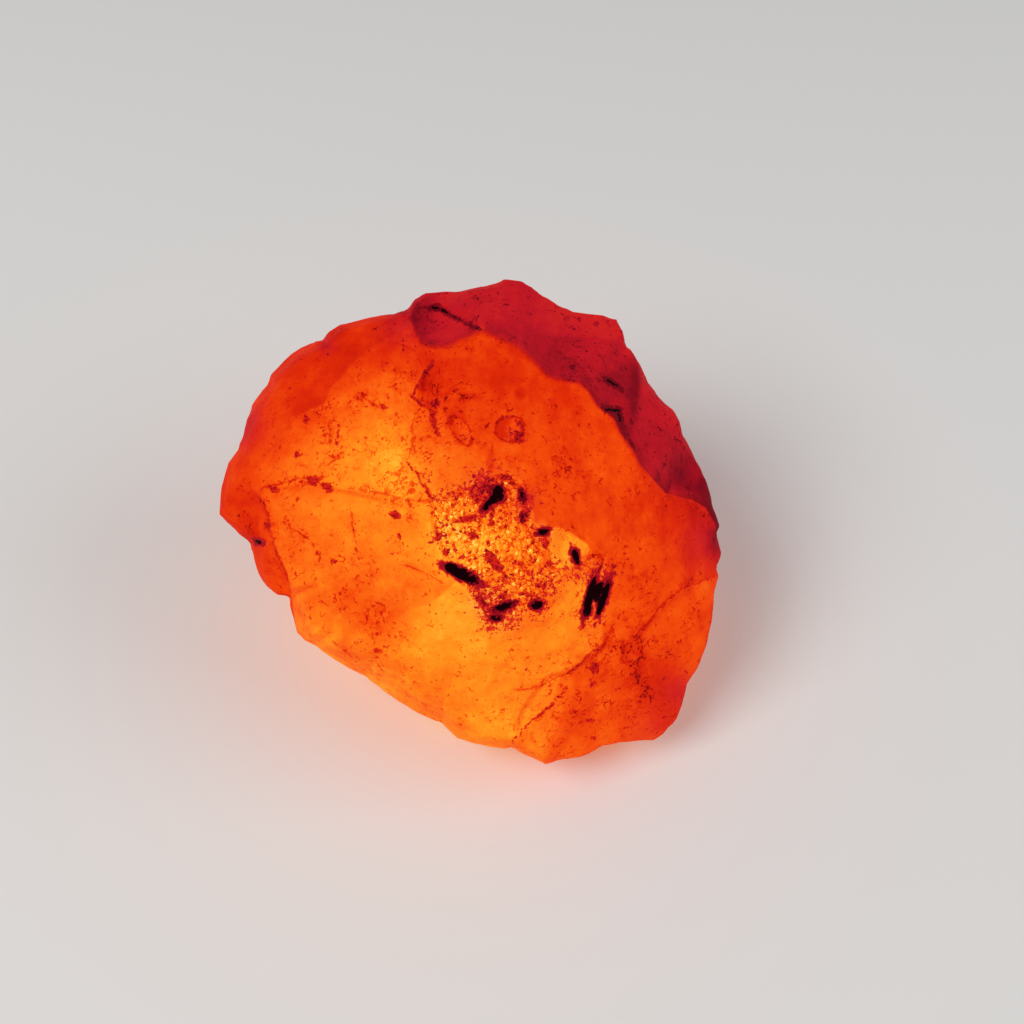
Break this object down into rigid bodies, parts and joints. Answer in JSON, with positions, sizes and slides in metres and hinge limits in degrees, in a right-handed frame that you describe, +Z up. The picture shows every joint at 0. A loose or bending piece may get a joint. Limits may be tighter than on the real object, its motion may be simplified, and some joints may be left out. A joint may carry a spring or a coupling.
{
  "type": "rough sapphire",
  "caption": "Broken lump of cloudy orange rough sapphire: a broad fractured face with a granular hollow and dark pits, a darker facet along its top edge, and a flat underside to rest on.",
  "frame": {"origin": "middle of the bounding box in plan, on the flat underside that the stone rests on", "axes": "+Z up from the resting face, +X along the stone's longest side, -Y towards the broad fractured face, which leans back"},
  "size_m": [0.0496, 0.0423, 0.0375],
  "materials": {
    "corundum": "matt broken corundum, cloudy and translucent, orange with a crimson rim and dark red specks"
  },
  "bodies": {
    "root": {"sapphire": "corundum"}
  },
  "joints": []
}
